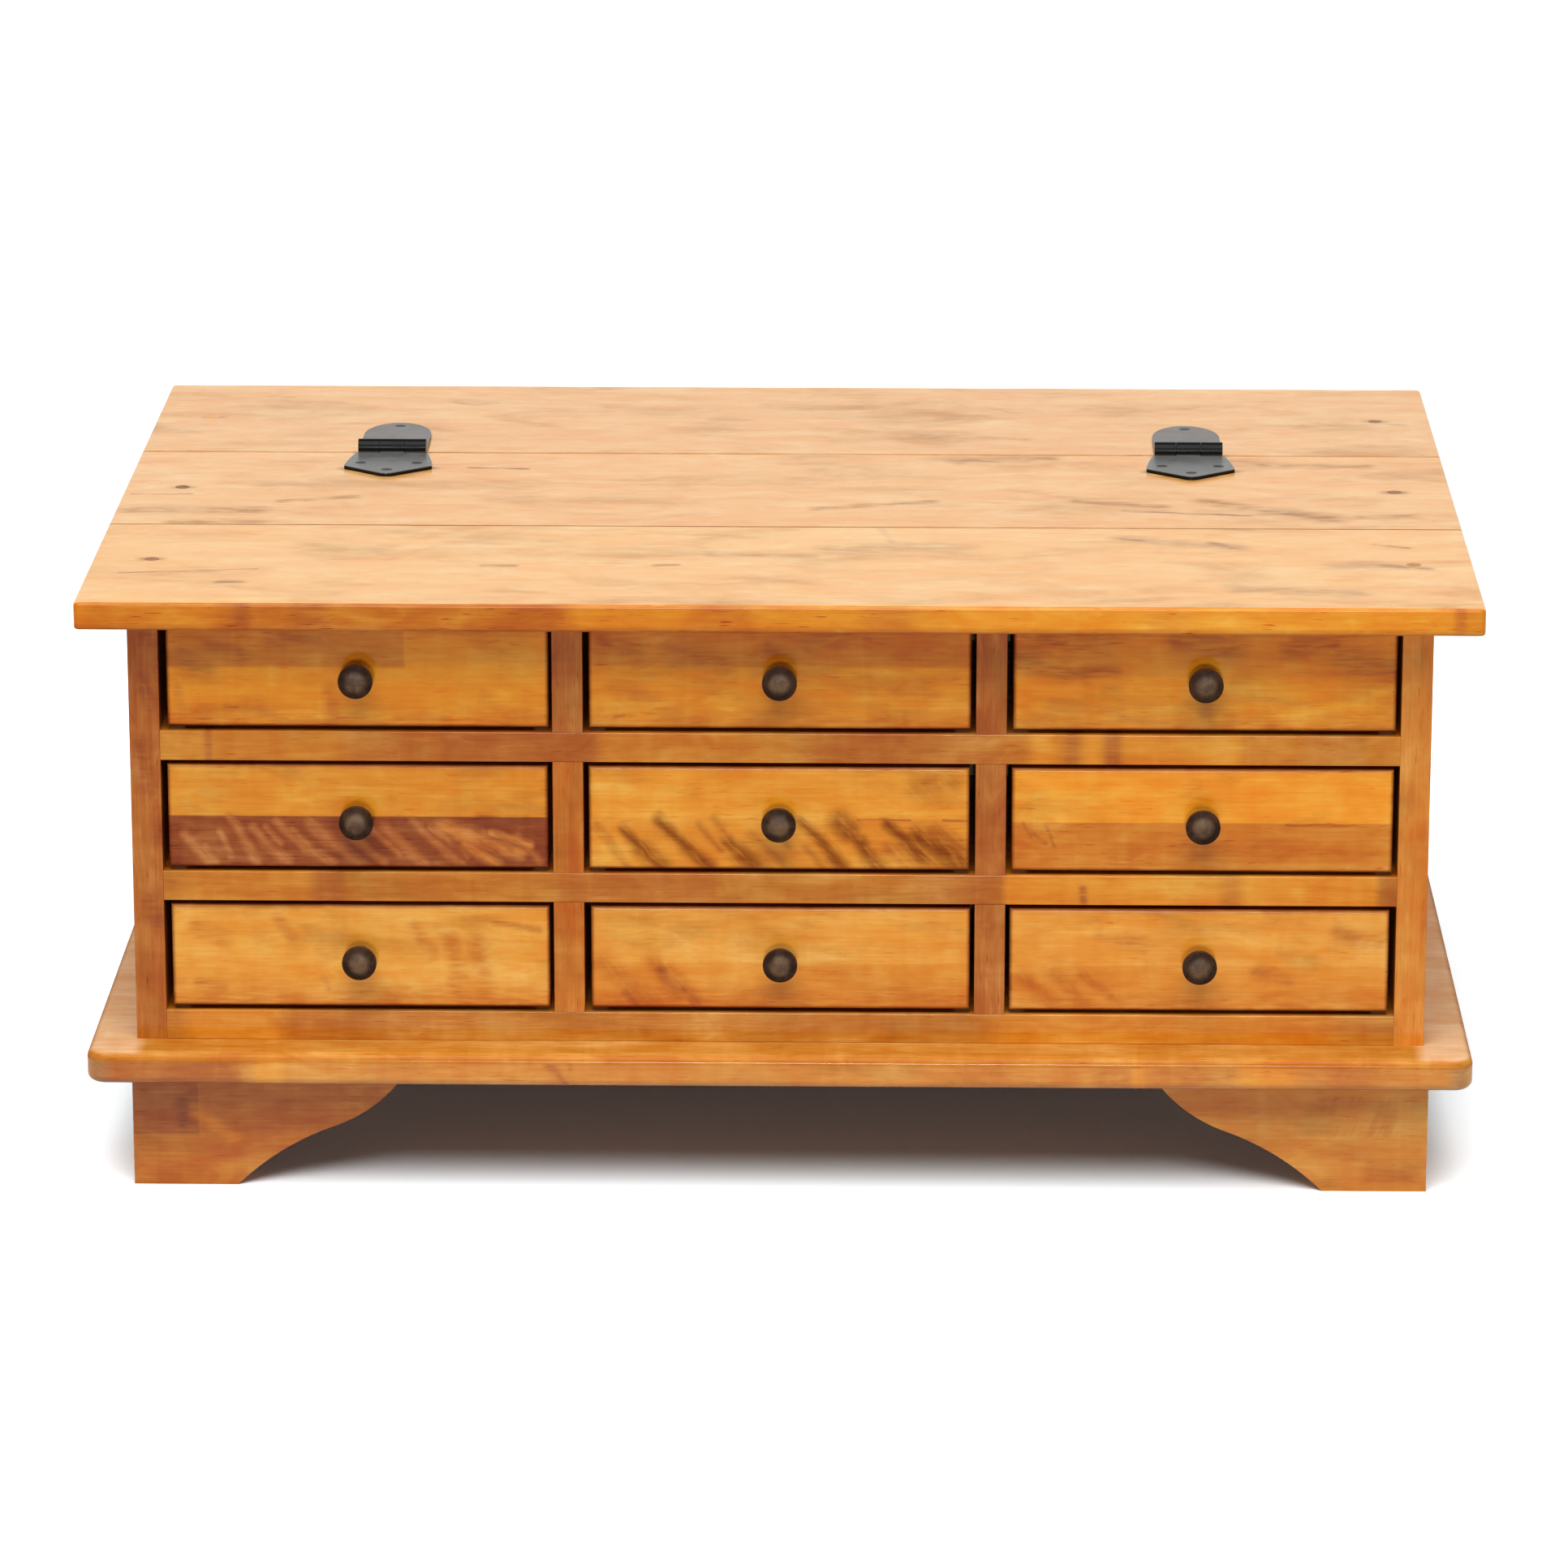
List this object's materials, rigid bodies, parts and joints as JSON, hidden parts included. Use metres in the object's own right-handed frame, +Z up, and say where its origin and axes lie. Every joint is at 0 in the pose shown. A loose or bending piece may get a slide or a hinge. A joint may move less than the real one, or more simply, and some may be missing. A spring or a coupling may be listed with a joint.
{
  "type": "apothecary chest",
  "caption": "Low wooden apothecary chest with rows of small knobbed drawers, a plank lid on iron hinges over a storage well, and a plate base on ogee bracket feet.",
  "frame": {"origin": "on the floor, under the middle of the chest", "axes": "+X to the right seen from the drawers, +Y to the back, +Z up"},
  "size_m": [1, 0.7, 0.4573],
  "materials": {
    "top_wood": "clear satin lacquer over honey stain",
    "plug_wood": "clear satin lacquer, end grain",
    "case_wood": "gloss lacquer over amber stain",
    "base_wood": "gloss lacquer over amber stain",
    "drawer_front_wood": "gloss lacquer over amber stain",
    "drawer_box_wood": "bare, sanded",
    "inner_wood": "thin matt lacquer",
    "hinge_iron": "blackened, oiled",
    "screw_steel": "blackened",
    "knob_bronze": "dark antique bronze, lightly rubbed"
  },
  "bodies": {
    "case": {"back_panel": "case_wood", "base_plate": "base_wood", "bottom_shelf": "case_wood", "divider_left_bottom": "case_wood", "divider_left_middle": "case_wood", "divider_left_top": "case_wood", "divider_right_bottom": "case_wood", "divider_right_middle": "case_wood", "divider_right_top": "case_wood", "foot_front_left": "base_wood", "foot_front_right": "base_wood", "foot_glue_blocks": "inner_wood", "foot_rear_left": "base_wood", "foot_rear_right": "base_wood", "hinge_pins": "screw_steel", "hinge_rear_leaf_left": "hinge_iron", "hinge_rear_leaf_right": "hinge_iron", "hinge_rear_screws": "screw_steel", "lower_shelf": "case_wood", "rear_board_plugs": "plug_wood", "rear_top_board": "top_wood", "side_panel_left": "case_wood", "side_panel_right": "case_wood", "upper_shelf": "case_wood", "well_partition": "inner_wood"},
    "lid": {"lid_front_board": "top_wood", "lid_middle_board": "top_wood", "lid_battens": "inner_wood", "lid_batten_screws": "screw_steel", "lid_plugs": "plug_wood", "hinge_lid_leaf_left": "hinge_iron", "hinge_lid_leaf_right": "hinge_iron", "hinge_lid_screws": "screw_steel"},
    "drawer_bottom_left": {"drawer_front_bottom_left": "drawer_front_wood", "drawer_box_bottom_left": "drawer_box_wood", "knob_bottom_left": "knob_bronze"},
    "drawer_bottom_centre": {"drawer_front_bottom_centre": "drawer_front_wood", "drawer_box_bottom_centre": "drawer_box_wood", "knob_bottom_centre": "knob_bronze"},
    "drawer_bottom_right": {"drawer_front_bottom_right": "drawer_front_wood", "drawer_box_bottom_right": "drawer_box_wood", "knob_bottom_right": "knob_bronze"},
    "drawer_middle_left": {"drawer_front_middle_left": "drawer_front_wood", "drawer_box_middle_left": "drawer_box_wood", "knob_middle_left": "knob_bronze"},
    "drawer_middle_centre": {"drawer_front_middle_centre": "drawer_front_wood", "drawer_box_middle_centre": "drawer_box_wood", "knob_middle_centre": "knob_bronze"},
    "drawer_middle_right": {"drawer_front_middle_right": "drawer_front_wood", "drawer_box_middle_right": "drawer_box_wood", "knob_middle_right": "knob_bronze"},
    "drawer_top_left": {"drawer_front_top_left": "drawer_front_wood", "drawer_box_top_left": "drawer_box_wood", "knob_top_left": "knob_bronze"},
    "drawer_top_centre": {"drawer_front_top_centre": "drawer_front_wood", "drawer_box_top_centre": "drawer_box_wood", "knob_top_centre": "knob_bronze"},
    "drawer_top_right": {"drawer_front_top_right": "drawer_front_wood", "drawer_box_top_right": "drawer_box_wood", "knob_top_right": "knob_bronze"}
  },
  "joints": [
    {"name": "lid_hinge", "type": "hinge", "parent": "case", "child": "lid", "pos_m": [0, 0.10967, 0.4513], "axis": [-1, 0, 0], "range_deg": [0, 180]},
    {"name": "drawer_bottom_left_slide", "type": "slide", "parent": "case", "child": "drawer_bottom_left", "axis": [0, -1, 0], "range_m": [0, 0.2]},
    {"name": "drawer_bottom_centre_slide", "type": "slide", "parent": "case", "child": "drawer_bottom_centre", "axis": [0, -1, 0], "range_m": [0, 0.2]},
    {"name": "drawer_bottom_right_slide", "type": "slide", "parent": "case", "child": "drawer_bottom_right", "axis": [0, -1, 0], "range_m": [0, 0.2]},
    {"name": "drawer_middle_left_slide", "type": "slide", "parent": "case", "child": "drawer_middle_left", "axis": [0, -1, 0], "range_m": [0, 0.2]},
    {"name": "drawer_middle_centre_slide", "type": "slide", "parent": "case", "child": "drawer_middle_centre", "axis": [0, -1, 0], "range_m": [0, 0.2]},
    {"name": "drawer_middle_right_slide", "type": "slide", "parent": "case", "child": "drawer_middle_right", "axis": [0, -1, 0], "range_m": [0, 0.2]},
    {"name": "drawer_top_left_slide", "type": "slide", "parent": "case", "child": "drawer_top_left", "axis": [0, -1, 0], "range_m": [0, 0.2]},
    {"name": "drawer_top_centre_slide", "type": "slide", "parent": "case", "child": "drawer_top_centre", "axis": [0, -1, 0], "range_m": [0, 0.2]},
    {"name": "drawer_top_right_slide", "type": "slide", "parent": "case", "child": "drawer_top_right", "axis": [0, -1, 0], "range_m": [0, 0.2]}
  ]
}
